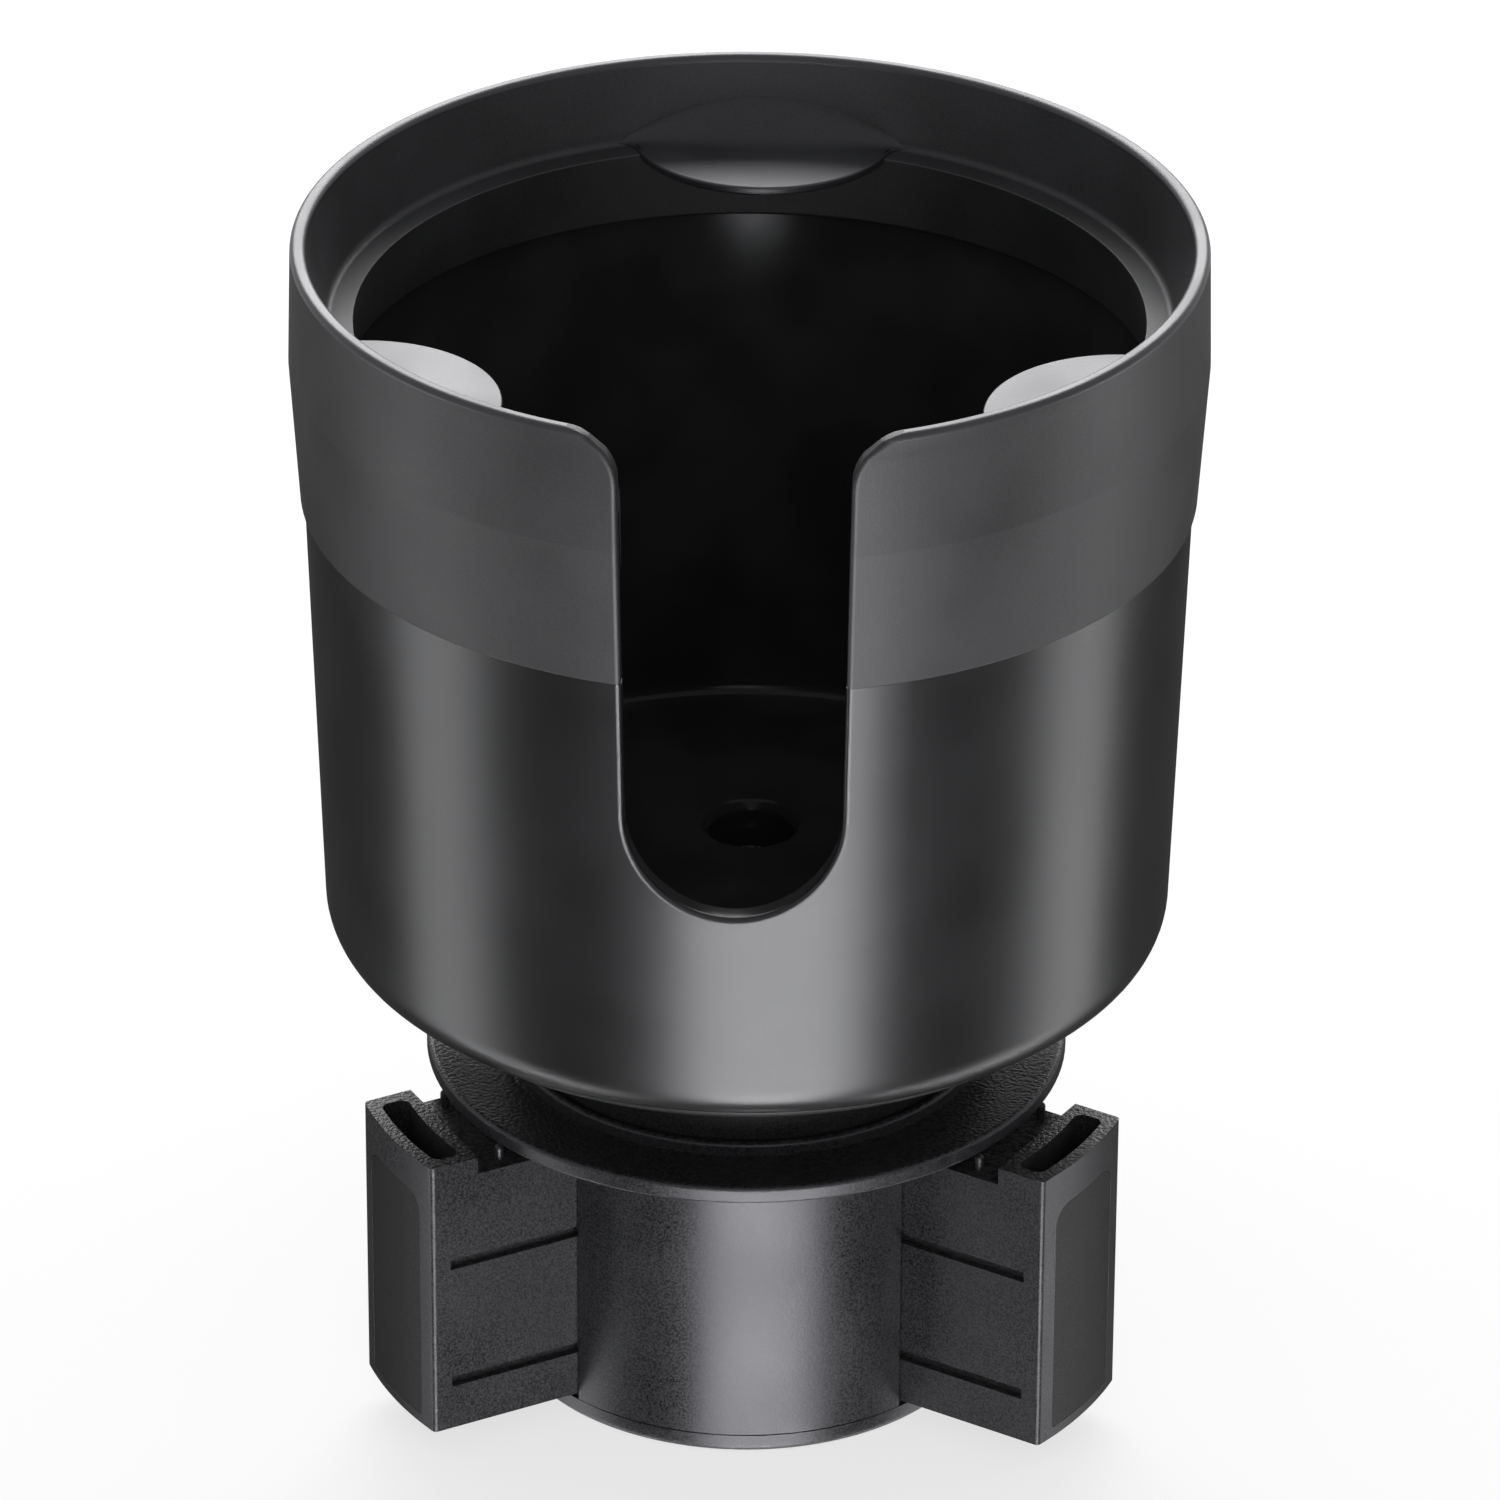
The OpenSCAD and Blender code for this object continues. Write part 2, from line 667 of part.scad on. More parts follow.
// The curved pocket in a leg's top, with round corners
module pocket() {
    out_r = leg_r - pocket_rim;
    in_r = out_r - pocket_w;
    half = leg_half - pocket_inset;
    translate([0, 0, leg_top - pocket_depth]) linear_extrude(pocket_depth + OVER) {
        intersection() {
            difference() {
                circle(r = out_r);
                circle(r = in_r);
            }
            translate([0, -half + pocket_corner]) square([leg_r, (half - pocket_corner) * 2]);
        }
        intersection() {
            difference() {
                circle(r = out_r - pocket_corner);
                circle(r = in_r + pocket_corner);
            }
            translate([0, -half]) square([leg_r, half * 2]);
        }
        for (side = [-1, 1], r = [in_r + pocket_corner, out_r - pocket_corner])
            translate([sqrt(r * r - pow(half - pocket_corner, 2)), side * (half - pocket_corner)])
                circle(r = pocket_corner);
    }
}

// A leg that points along +X
module leg() {
    core_in = leg_in + leg_end_t;
    core_out = block_in + block_t - pocket_rim - pocket_w - leg_wall;
    core_half = leg_half - groove_d - leg_wall;
    rib_at = (core_in + core_out) / 2;
    apex = leg_travel + slide_gap / 2 / sin(HALF_SECTOR);
    difference() {
        translate([0, 0, leg_low]) linear_extrude(leg_top - leg_low) intersection() {
            translate([leg_in, -leg_half]) square([leg_r, leg_w]);
            circle(r = leg_r);
            polygon([
                [apex, 0],
                [apex + leg_r * cos(HALF_SECTOR), leg_r * sin(HALF_SECTOR)],
                [apex + leg_r * 2, 0],
                [apex + leg_r * cos(HALF_SECTOR), -leg_r * sin(HALF_SECTOR)]
            ]);
        }
        translate([0, -leg_w, leg_deck]) cube([block_in, leg_w * 2, leg_drop + OVER]);
        for (side = [0, 1], z = [groove_low, groove_high])
            mirror([0, side, 0]) translate([0, leg_half - groove_d, z]) cube([groove_end, groove_d + OVER, groove_h]);
        for (x = [[core_in, rib_at - leg_wall / 2], [rib_at + leg_wall / 2, core_out]])
            translate([x[0], -core_half, leg_low - OVER])
                cube([x[1] - x[0], core_half * 2, leg_deck - leg_wall - leg_low + OVER]);
        translate([pin_at, 0, 0]) rod(pin_r + fit_gap, pin_top - pin_l, leg_top);
        pocket();
        pad_cut(fit_gap, leg_r - pad_t);
    }
    for (side = [-1, 1]) translate([block_in - post_back, side * (leg_half - post_inset), 0]) {
        rod(post_r, leg_deck - OVER, leg_top - post_drop - post_r);
        translate([0, 0, leg_top - post_drop - post_r]) sphere(r = post_r);
    }
}

module leg_rear() {
    color("#55575b") rotate(REAR) leg();
}

module leg_left() {
    color("#55575b") rotate(LEFT) leg();
}

module leg_right() {
    color("#55575b") rotate(RIGHT) leg();
}

module pad() {
    pad_cut(0, leg_r - pad_t + fit_gap);
}

module pad_rear() {
    color("#28292b") rotate(REAR) pad();
}

module pad_left() {
    color("#28292b") rotate(LEFT) pad();
}

module pad_right() {
    color("#28292b") rotate(RIGHT) pad();
}

module pin() {
    translate([pin_at, 0, 0]) rod(pin_r, pin_top - pin_l, pin_top);
}

module pin_rear() {
    color("silver") rotate(REAR) pin();
}

module pin_left() {
    color("silver") rotate(LEFT) pin();
}

module pin_right() {
    color("silver") rotate(RIGHT) pin();
}

base_housing();
bottom_cap();
cap_screws();
slip_ring();
cup_shell();
grip_collar();
neck();
cup_screws();
cam_plate();
cam_screws();
centre_screw();
centre_washer();
leg_rear();
leg_left();
leg_right();
pad_rear();
pad_left();
pad_right();
pin_rear();
pin_left();
pin_right();
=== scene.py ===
import json
import math

import bmesh
import bpy
from mathutils import Matrix, Vector
from mathutils.geometry import tessellate_polygon


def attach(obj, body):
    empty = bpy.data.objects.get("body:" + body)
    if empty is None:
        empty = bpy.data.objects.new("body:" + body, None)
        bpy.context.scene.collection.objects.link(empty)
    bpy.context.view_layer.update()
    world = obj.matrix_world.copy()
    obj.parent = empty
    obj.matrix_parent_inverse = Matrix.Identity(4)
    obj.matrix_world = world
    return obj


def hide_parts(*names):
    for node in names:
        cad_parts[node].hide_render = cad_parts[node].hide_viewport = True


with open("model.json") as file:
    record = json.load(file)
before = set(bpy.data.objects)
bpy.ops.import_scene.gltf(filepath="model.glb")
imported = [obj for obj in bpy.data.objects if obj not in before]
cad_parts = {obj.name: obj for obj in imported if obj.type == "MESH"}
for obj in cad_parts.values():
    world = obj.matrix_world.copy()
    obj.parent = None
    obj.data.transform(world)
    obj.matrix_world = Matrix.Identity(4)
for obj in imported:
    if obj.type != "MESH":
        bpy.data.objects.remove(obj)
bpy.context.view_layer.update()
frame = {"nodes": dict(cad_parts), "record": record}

# A millimetre and the welding distance in metres, and the angle in degrees from which an edge counts as sharp
MM = 0.001
WELD = 1e-6
SHARP_ANGLE = 38


def linked(name, data):
    """A new object in the scene."""
    thing = bpy.data.objects.new(name, data)
    bpy.context.scene.collection.objects.link(thing)
    return thing


# Camera, as it stood in the photograph: pixels, degrees and metres
PHOTO_PX = 1500
FOCAL_PX = 10000
SENSOR_MM = 36
CAM_AZIMUTH = 1.8
CAM_ELEVATION = 28.33
CAM_ROLL = 0.29
CAM_DISTANCE = 1.23385
CAM_TARGET = Vector((0.0, 0.0, 0.08338))
CAM_SIDE_SHIFT = 0.00029
CAM_CLIP = 0.05, 20


def make_camera():
    azimuth, elevation, roll = (math.radians(v) for v in (CAM_AZIMUTH, CAM_ELEVATION, CAM_ROLL))
    back = Vector((
        math.sin(azimuth) * math.cos(elevation),
        -math.cos(azimuth) * math.cos(elevation),
        math.sin(elevation),
    ))
    right = Vector((math.cos(azimuth), math.sin(azimuth), 0))
    up = back.cross(right)
    side = right * math.cos(roll) + up * math.sin(roll)
    top = up * math.cos(roll) - right * math.sin(roll)
    data = bpy.data.cameras.new("camera")
    data.sensor_width = SENSOR_MM
    data.lens = FOCAL_PX / PHOTO_PX * SENSOR_MM
    data.clip_start, data.clip_end = CAM_CLIP
    camera = linked("camera", data)
    place = CAM_TARGET + right * CAM_SIDE_SHIFT + back * CAM_DISTANCE
    camera.matrix_world = Matrix((
        (side.x, top.x, back.x, place.x),
        (side.y, top.y, back.y, place.y),
        (side.z, top.z, back.z, place.z),
        (0, 0, 0, 1),
    ))
    bpy.context.scene.camera = camera


# Materials: sizes in millimetres, and each tone of a colour as a factor and an addition
BROAD_MM, MIDDLE_MM = 16, 1.1
NOISE_SPAN = 0.3, 0.7
EDGE_MASK_MM = 0.5
WORN_GLOSS = -0.12
# The last tone pales the sharp edges: partly scuffs from use, partly a painted highlight along the edges
DARK, LIGHT, PALE, WORN_AND_SHEEN = (0.8, 0), (1.25, 0), (3.0, 0.004), (2.0, 0.012)
BLUISH = (0.93, 0.925, 1.0)


class Tree:
    """The shader nodes of a material or a world."""

    def __init__(self, owner, emptied=True):
        owner.use_nodes = True
        self.nodes, self.links = owner.node_tree.nodes, owner.node_tree.links
        if emptied:
            self.nodes.clear()

    def add(self, kind, **settings):
        node = self.nodes.new("ShaderNode" + kind)
        for name, value in settings.items():
            setattr(node, name, value)
        return node

    def feed(self, socket, value):
        """Sets a socket to a number or to a colour, or links another node's socket to it."""
        if isinstance(value, (int, float)):
            socket.default_value = value
        elif isinstance(value, tuple):
            socket.default_value = (*value, 1)
        else:
            self.links.new(value, socket)

    def calculated(self, operation, *values):
        """The result of a Math node whose inputs are sockets or numbers."""
        node = self.add("Math", operation=operation)
        for socket, value in zip(node.inputs, values):
            self.feed(socket, value)
        return node.outputs[0]

    def ranged(self, value, span, to_span):
        """The value, carried smoothly from one span of numbers to another."""
        node = self.add("MapRange", interpolation_type="SMOOTHSTEP")
        for name, number in zip(("From Min", "From Max", "To Min", "To Max"), (*span, *to_span)):
            self.feed(node.inputs[name], number)
        self.feed(node.inputs["Value"], value)
        return node.outputs["Result"]

    def noise(self, place, size_mm, detail=2):
        node = self.add("TexNoise")
        self.feed(node.inputs["Scale"], 1 / (size_mm * MM))
        self.feed(node.inputs["Detail"], detail)
        self.feed(node.inputs["Vector"], place)
        return node.outputs["Fac"]

    def grain_height(self, place, size_mm):
        return self.ranged(self.noise(place, size_mm, 1), NOISE_SPAN, (0, 1))

    def blended(self, share, first, second):
        """A colour between two colours, each a socket or three numbers."""
        node = self.add("Mix", data_type="RGBA")
        for socket, value in zip((node.inputs["Factor"], node.inputs[6], node.inputs[7]), (share, first, second)):
            self.feed(socket, value)
        return node.outputs[2]

    def edge_share(self):
        """Nearly one along sharp edges, and zero away from them."""
        bevel = self.add("Bevel", samples=3)
        self.feed(bevel.inputs["Radius"], EDGE_MASK_MM * MM)
        dot = self.add("VectorMath", operation="DOT_PRODUCT")
        self.feed(dot.inputs[0], bevel.outputs["Normal"])
        self.feed(dot.inputs[1], self.add("NewGeometry").outputs["Normal"])
        return self.ranged(dot.outputs["Value"], (0.7, 0.98), (1, 0))

    def upward_share(self):
        """One where the surface faces upward, and zero on its sides."""
        facing = self.add("SeparateXYZ")
        self.feed(facing.inputs[0], self.add("NewGeometry").outputs["Normal"])
        return self.ranged(facing.outputs["Z"], (0.5, 0.9), (0, 1))

    def looked_at(self):
        """One where a camera, glossy or transmission ray looks, and zero elsewhere."""
        paths = self.add("LightPath")
        found = paths.outputs["Is Camera Ray"]
        for name in ("Is Glossy Ray", "Is Transmission Ray"):
            found = self.calculated("MAXIMUM", found, paths.outputs[name])
        return found

    def emission(self, strength):
        node = self.add("Emission")
        self.feed(node.inputs["Strength"], strength)
        return node.outputs[0]

    def mixed(self, share, first, second):
        """The first shader where the share is zero, and the second where it is one."""
        node = self.add("MixShader")
        for socket, value in zip((node.inputs["Fac"], node.inputs[1], node.inputs[2]), (share, first, second)):
            self.feed(socket, value)
        return node.outputs[0]

    def output(self, kind, shader):
        self.feed(self.add("Output" + kind).inputs["Surface"], shader)


def surface(name, colour, roughness, specular=0.25, metallic=0.0, grain_mm=0.3, grain=0.004, uneven=0.08, wear_and_sheen=0.5,
            speckle=0.0, sparkle=0.0, top_grain=0.0, tint=(0.96, 0.96, 1.0)):
    """Moulded plastic, rubber or plated steel. It has fine grain, uneven gloss and tone, and paler sharp edges,
    partly scuffed from use and partly a painted highlight along the rounded edges.

    The grain also shows in the tone with speckle, and in the gloss with sparkle. With top_grain, surfaces that
    face upward have a coarser and higher grain.
    """
    material = bpy.data.materials.new(name)
    tree = Tree(material, emptied=False)
    shader = tree.nodes["Principled BSDF"]
    for socket, value in (("Specular IOR Level", specular), ("Metallic", metallic), ("Specular Tint", tint)):
        tree.feed(shader.inputs[socket], value)
    place = tree.add("TexCoord").outputs["Object"]
    broad = tree.noise(place, BROAD_MM)
    fine = tree.grain_height(place, grain_mm)
    height = fine
    if top_grain:
        coarse = tree.grain_height(place, 2 * grain_mm)
        upward = tree.upward_share()
        more = tree.calculated("SUBTRACT", coarse, fine)
        fine = tree.calculated("MULTIPLY_ADD", more, upward, fine)
        strength = tree.calculated("MULTIPLY_ADD", upward, top_grain, 1)
        height = tree.calculated("MULTIPLY", fine, strength)
    dark, light, pale, worn_and_sheen = (tuple(c * k + add for c in colour) for k, add in (DARK, LIGHT, PALE, WORN_AND_SHEEN))
    tone = tree.blended(tree.ranged(broad, NOISE_SPAN, (0, 1)), dark, light)
    if speckle:
        tone = tree.blended(tree.calculated("MULTIPLY", fine, speckle), tone, pale)
    gloss = tree.ranged(broad, (0.25, 0.75), (roughness - uneven / 2, roughness + uneven / 2))
    # Paler sharp edges: partly scuffs from use, partly a painted highlight where the edges round over
    if wear_and_sheen:
        middle = tree.noise(place, MIDDLE_MM)
        rubbed_and_sheen = tree.ranged(middle, (0.35, 0.7), (0.2 * wear_and_sheen, wear_and_sheen))
        rubbed_and_sheen = tree.calculated("MULTIPLY", tree.edge_share(), rubbed_and_sheen)
        tone = tree.blended(rubbed_and_sheen, tone, worn_and_sheen)
        gloss = tree.calculated("MULTIPLY_ADD", middle, uneven / 2, gloss)
        gloss = tree.calculated("MULTIPLY_ADD", rubbed_and_sheen, WORN_GLOSS, gloss)
    if sparkle:
        gloss = tree.calculated("MULTIPLY_ADD", fine, sparkle, gloss)
    bump = tree.add("Bump")
    for socket, value in (("Strength", 1), ("Distance", grain * MM), ("Height", height)):
        tree.feed(bump.inputs[socket], value)
    for socket, value in (("Base Color", tone), ("Roughness", gloss), ("Normal", bump.outputs["Normal"])):
        tree.feed(shader.inputs[socket], value)
    return material


# Stage, in metres; the height and drop of the lamps under the floor are shares of their distance
AMBIENT = 0.6
FLOOR_HALF, FLOOR_DROP, FLOOR_SHADE, SHADOW_SHARE = 3.0, 0.0002, 0.9, 0.3
CARD_NEAR, CARD_FAR, CARD_RISE, CARD_LEVEL, CARD_STEPS = 0.031, 0.45, 0.0005, 0.08, 90
LAMP_AIM = Vector((0, 0, 0.08))
UNDER_DISTANCE, UNDER_HEIGHT, UNDER_DROP = 1.5, 4.0, 2.15


def area_lamp(name, azimuth, elevation, distance, width, height, radiance):
    """A soft box that faces the object. Azimuth 0 is in front, 90 to the right."""
    a, e = math.radians(azimuth), math.radians(elevation)
    toward = Vector((math.sin(a) * math.cos(e), -math.cos(a) * math.cos(e), math.sin(e)))
    data = bpy.data.lights.new(name, "AREA")
    data.shape = "RECTANGLE"
    data.size = width
    data.size_y = height
    data.energy = radiance * math.pi * width * height
    lamp = linked(name, data)
    lamp.location = LAMP_AIM + toward * distance
    lamp.rotation_mode = "QUATERNION"
    lamp.rotation_quaternion = toward.to_track_quat("Z", "Y")
    return lamp


def under_lamp(name, azimuth, half_angle, radiance):
    """An upright soft box that stands below the see-through table top, and shows only in gloss."""
    width = 2 * UNDER_DISTANCE * math.tan(math.radians(half_angle))
    lamp = area_lamp(name, azimuth, 0, UNDER_DISTANCE, width, UNDER_DISTANCE * UNDER_HEIGHT, radiance)
    lamp.location.z -= UNDER_DISTANCE * UNDER_DROP
    lamp.visible_camera = False
    lamp.visible_diffuse = False
    lamp.data.cycles.use_multiple_importance_sampling = False


def stage_piece(name, points, faces):
    """A piece of the stage, and the empty node tree of its material."""
    mesh = bpy.data.meshes.new(name)
    mesh.from_pydata(points, [], faces)
    material = bpy.data.materials.new(name)
    mesh.materials.append(material)
    return linked(name, mesh), Tree(material)


def make_dark_card():
    """A ring just above the floor that only gloss shows: a black card that keeps the edges dark."""
    turns = [math.radians(k * 360 / CARD_STEPS) for k in range(CARD_STEPS)]
    points = [(r * math.sin(a), -r * math.cos(a), CARD_RISE) for a in turns for r in (CARD_NEAR, CARD_FAR)]
    count = len(points)
    faces = [(k, k + 1, (k + 3) % count, (k + 2) % count) for k in range(0, count, 2)]
    card, tree = stage_piece("dark_card", points, faces)
    for kind in ("camera", "diffuse", "shadow", "transmission", "volume_scatter"):
        setattr(card, "visible_" + kind, False)
    tree.output("Material", tree.emission(CARD_LEVEL))


def make_floor():
    """A white floor that looks lit all over, with a share of its true shadows."""
    half = FLOOR_HALF
    corners = [(-half, -half, 0), (half, -half, 0), (half, half, 0), (-half, half, 0)]
    floor, tree = stage_piece("floor", corners, [(0, 1, 2, 3)])
    floor.location.z = -FLOOR_DROP
    floor.visible_shadow = False
    share = tree.calculated("MULTIPLY", tree.looked_at(), 1 - SHADOW_SHARE)
    matte = tree.add("BsdfDiffuse")
    tree.feed(matte.inputs["Color"], (FLOOR_SHADE,) * 3)
    tree.output("Material", tree.mixed(share, matte.outputs[0], tree.emission(1)))


def make_world():
    """White where it is looked at, and dimmer as a light."""
    world = bpy.data.worlds.new("studio")
    bpy.context.scene.world = world
    tree = Tree(world)
    shaders = []
    for strength in (AMBIENT, 1):
        background = tree.add("Background")
        tree.feed(background.inputs["Color"], (1, 1, 1))
        tree.feed(background.inputs["Strength"], strength)
        shaders.append(background.outputs[0])
    tree.output("World", tree.mixed(tree.looked_at(), *shaders))


# Shapes, in millimetres until they are handed to Blender


def mix(a, b, t):
    return a + (b - a) * t


def arc(centre, radius, start, end, steps):
    """Points of an arc, angles in degrees."""
    angles = [math.radians(start + (end - start) * k / steps) for k in range(steps + 1)]
    return [(centre[0] + radius * math.cos(a), centre[1] + radius * math.sin(a)) for a in angles]


def filleted(points, radii, steps=5, closed=True):
    """The chain of points with each corner that has a radius turned into an arc."""
    out = []
    count = len(points)
    for i, (point, radius) in enumerate(zip(points, radii)):
        if not radius or (not closed and i in (0, count - 1)):
            out.append(point)
            continue
        p = Vector(point)
        to_last = (Vector(points[i - 1]) - p).normalized()
        to_next = (Vector(points[(i + 1) % count]) - p).normalized()
        half = to_last.angle(to_next) / 2
        centre = p + (to_last + to_next).normalized() * (radius / math.sin(half))
        reach = radius / math.tan(half)
        start, end = p + to_last * reach - centre, p + to_next * reach - centre
        sweep = math.pi - 2 * half
        for k in range(steps + 1):
            t = k / steps
            a, b = math.sin((1 - t) * sweep), math.sin(t * sweep)
            out.append(tuple(centre + (start * a + end * b) / math.sin(sweep)))
    return out


def edge_steps(radius, steps=5):
    """Pairs of distance from the edge and depth for a rounded edge, ending with a close support line."""
    turns = [math.pi / 2 * (1 - k / steps) for k in range(steps + 1)]
    return [(radius * (1 - math.sin(a)), radius * (1 - math.cos(a))) for a in turns] + [(radius * 1.15, 0.0)]


def round_at(radius, azimuth, z):
    """A point on a circle about the axis; azimuth in radians from the front towards the right."""
    return (radius * math.sin(azimuth), -radius * math.cos(azimuth), z)


def circle(centre, radius, z, steps):
    angles = [2 * math.pi * k / steps for k in range(steps)]
    return [(centre[0] + radius * math.sin(a), centre[1] - radius * math.cos(a), z) for a in angles]


class Shape:
    """Points and faces of a mesh, each face with the number of its material."""

    def __init__(self):
        self.points, self.faces, self.slots = [], [], []

    def grid(self, rows, slot=0, closed=False):
        """Faces between rows of points; a closed grid also joins each row's end to its start."""
        start, count = len(self.points), len(rows[0])
        for row in rows:
            self.points.extend(row)
        for i in range(len(rows) - 1):
            for j in range(count if closed else count - 1):
                a, b = start + i * count + j, start + i * count + (j + 1) % count
                self.faces.append((a, b, b + count, a + count))
                self.slots.append(slot)

    def flat(self, loops, slot=0):
        """A flat face with holes: the first loop is its outline."""
        start = len(self.points)
        for loop in loops:
            self.points.extend(loop)
        for triangle in tessellate_polygon([[Vector(p) for p in loop] for loop in loops]):
            self.faces.append(tuple(start + k for k in triangle))
            self.slots.append(slot)

    def turned(self, profile, centre, steps, slot=0):
        """A surface of revolution about an upright axis."""
        self.grid([circle(centre, r, z, steps) for r, z in profile], slot, closed=True)

    def mesh(self, name):
        mesh = bpy.data.meshes.new(name)
        mesh.from_pydata([Vector(p) * MM for p in self.points], [], self.faces)
        mesh.polygons.foreach_set("material_index", self.slots)
        weld(mesh)
        return mesh


def weld(mesh):
    work = bmesh.new()
    work.from_mesh(mesh)
    bmesh.ops.remove_doubles(work, verts=work.verts, dist=WELD)
    bmesh.ops.dissolve_degenerate(work, edges=work.edges, dist=WELD)
    bmesh.ops.recalc_face_normals(work, faces=work.faces)
    work.to_mesh(mesh)
    work.free()


def placed(mesh, body, nodes, materials, bevel=0):
    """A piece on its body in place of its CAD nodes, with smooth faces and, if asked, rounded edges."""
    piece = linked(mesh.name, mesh)
    if bevel:
        rounding = piece.modifiers.new("rounded_edges", "BEVEL")
        rounding.width = bevel * MM
        rounding.segments = 3
        rounding.limit_method = "ANGLE"
        rounding.angle_limit = math.radians(SHARP_ANGLE)
    mesh.polygons.foreach_set("use_smooth", [True] * len(mesh.polygons))
    mesh.set_sharp_from_angle(angle=math.radians(SHARP_ANGLE))
    weigh = piece.modifiers.new("weighted_normals", "WEIGHTED_NORMAL")
    weigh.keep_sharp = True
    for material in materials:
        mesh.materials.append(material)
    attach(piece, body)
    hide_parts(*nodes)


# Cup and collar: sizes shared with the CAD model
CUP_R, DRAFT_ANGLE, WALL = 52.1, 1.84, 3.0
FOOT_Z, CEILING_Z, FLOOR_Z, FOOT_HOLLOW_R = 59.6, 62.0, 65.0, 45
FOOT_ROUND, FLOOR_ROUND = 6, 2
STEP_Z, STEP, SHELL_TOP = 119.9, 1.15, 141.6
SLOT_HALF, SLOT_Z, RIM_Z, CORNER = 12.9, 102.0, 153.0, 6.5
CUT_ROUND_OUT, CUT_ROUND_IN = 0.7, 0.3
WELL_AT, WELL_R, WELL_DEEP, MOUTH_W, MOUTH_DEEP = 15.0, 5.3, 7, 1, 1.2
SCREW_R, SCREW_SEAT, TOWER_R = 1.6, 1.5, 7.5
COLLAR_LOW, COLLAR_OUT, COLLAR_EDGE, FIT = 120.0, 0.5, 0.7, 0.1
BELLY_Z, BELLY_OUT, LIP_Z, LIP_OUT, LIP_R, LIP_W = 138.0, 1.07, 152.19, 0.25, 0.8, 2
LEDGE_Z, LEDGE_W, SKIRT_IN, SKIRT_LOW, SKIRT_THICK = 142.9, 3.35, 4, 133.1, 2.25
TAB_R, TAB_REACH, TAB_THICK, TAB_LIFT, TAB_ROOT, TAB_LEAN = 16.6, 12.4, 1.1, 0.4, 2.0, 13.3
TAB_EDGE, TAB_UNDER, TAB_FADE = 0.3, 2.0, 1.5
SWEEP_LEAST, SWEEP_MORE, SWEEP_POWER = 0.4, 5.6, 1.2
TAB_ANGLES = (90, 210, 330)

DRAFT = math.tan(math.radians(DRAFT_ANGLE))
FLARE = math.radians(0.9)
CORNER_Z = RIM_Z - CORNER

# How the cup's mesh is divided: a patch about the slot, with lines that run from the slot's cut to the patch's edge
PATCH_TURN = math.radians(23)
PATCH_LOW = 80.0
BEND_STEPS, SIDE_STEPS = 48, 12
PATCH_STEPS, AROUND_STEPS, WELL_STEPS = 7, 132, 40
SIDE_ROWS = [SHELL_TOP, 138, 134, 130, 126, 122.5, STEP_Z + 0.01, STEP_Z, 116, 112, 108, 104.5]
LOW_ROWS = (77, 74, 71, 68)


def wall_out(z):
    return CUP_R + DRAFT * (z - FOOT_Z)


def wall_in(z):
    return wall_out(z) - WALL


def shell_out(z):
    """The shell's outside, which steps back under the collar."""
    return wall_out(z) - (STEP if z > STEP_Z else 0)


def slot_side(z, out=0.0):
    """Distance from the middle plane to the slot's side at a height, moved into the wall."""
    line = (SLOT_HALF + out + (z - SLOT_Z) * math.sin(FLARE)) / math.cos(FLARE)
    if z <= CORNER_Z:
        return line
    middle = (SLOT_HALF + CORNER + (CORNER_Z - SLOT_Z) * math.sin(FLARE)) / math.cos(FLARE)
    reach = max(0.0, (CORNER - out) ** 2 - (z - CORNER_Z) ** 2)
    return middle - math.sqrt(reach)


def slot_path():
    """The slot's cut: x, z and the way into the wall at each point, and the azimuth and z where its line ends."""
    edge = PATCH_TURN
    path = [(-slot_side(z), z, -1, 0, -edge, z) for z in SIDE_ROWS]
    for k in range(BEND_STEPS + 1):
        a = math.pi * (1 + k / BEND_STEPS)
        if k <= SIDE_STEPS:
            target = (-edge, mix(SLOT_Z, PATCH_LOW, k / SIDE_STEPS))
        elif k < BEND_STEPS - SIDE_STEPS:
            target = (mix(-edge, edge, (k - SIDE_STEPS) / (BEND_STEPS - 2 * SIDE_STEPS)), PATCH_LOW)
        else:
            target = (edge, mix(SLOT_Z, PATCH_LOW, (BEND_STEPS - k) / SIDE_STEPS))
        path.append((SLOT_HALF * math.cos(a), SLOT_Z + SLOT_HALF * math.sin(a), math.cos(a), math.sin(a), *target))
    return path + [(slot_side(z), z, 1, 0, edge, z) for z in reversed(SIDE_ROWS)]


def patch_line(x, z, nx, nz, turn_to, z_to, radius_at, rounding, sign):
    """A line of the patch on one side of the wall, from the rounded edge of the slot's cut to the patch's edge."""
    line = []
    for out, depth in edge_steps(rounding):
        px, pz = x + nx * out, z + nz * out
        r = radius_at(pz)
        line.append((px, -math.sqrt(r * r - px * px) + sign * depth, pz))
    turn_from = math.asin(px / r)
    for m in range(1, PATCH_STEPS + 1):
        turn, z_m = mix(turn_from, turn_to, m / PATCH_STEPS), mix(pz, z_to, m / PATCH_STEPS)
        line.append(round_at(radius_at(z_m), turn, z_m))
    return line


def foot_profile(radius_at, z, radius, steps):
    """The lower end of one side of the wall, with the round at its foot."""
    centre = (radius_at(z + radius) - radius / math.cos(math.atan(DRAFT)), z + radius)
    return [(radius_at(row), row) for row in LOW_ROWS] + arc(centre, radius, -DRAFT_ANGLE, -90, steps)


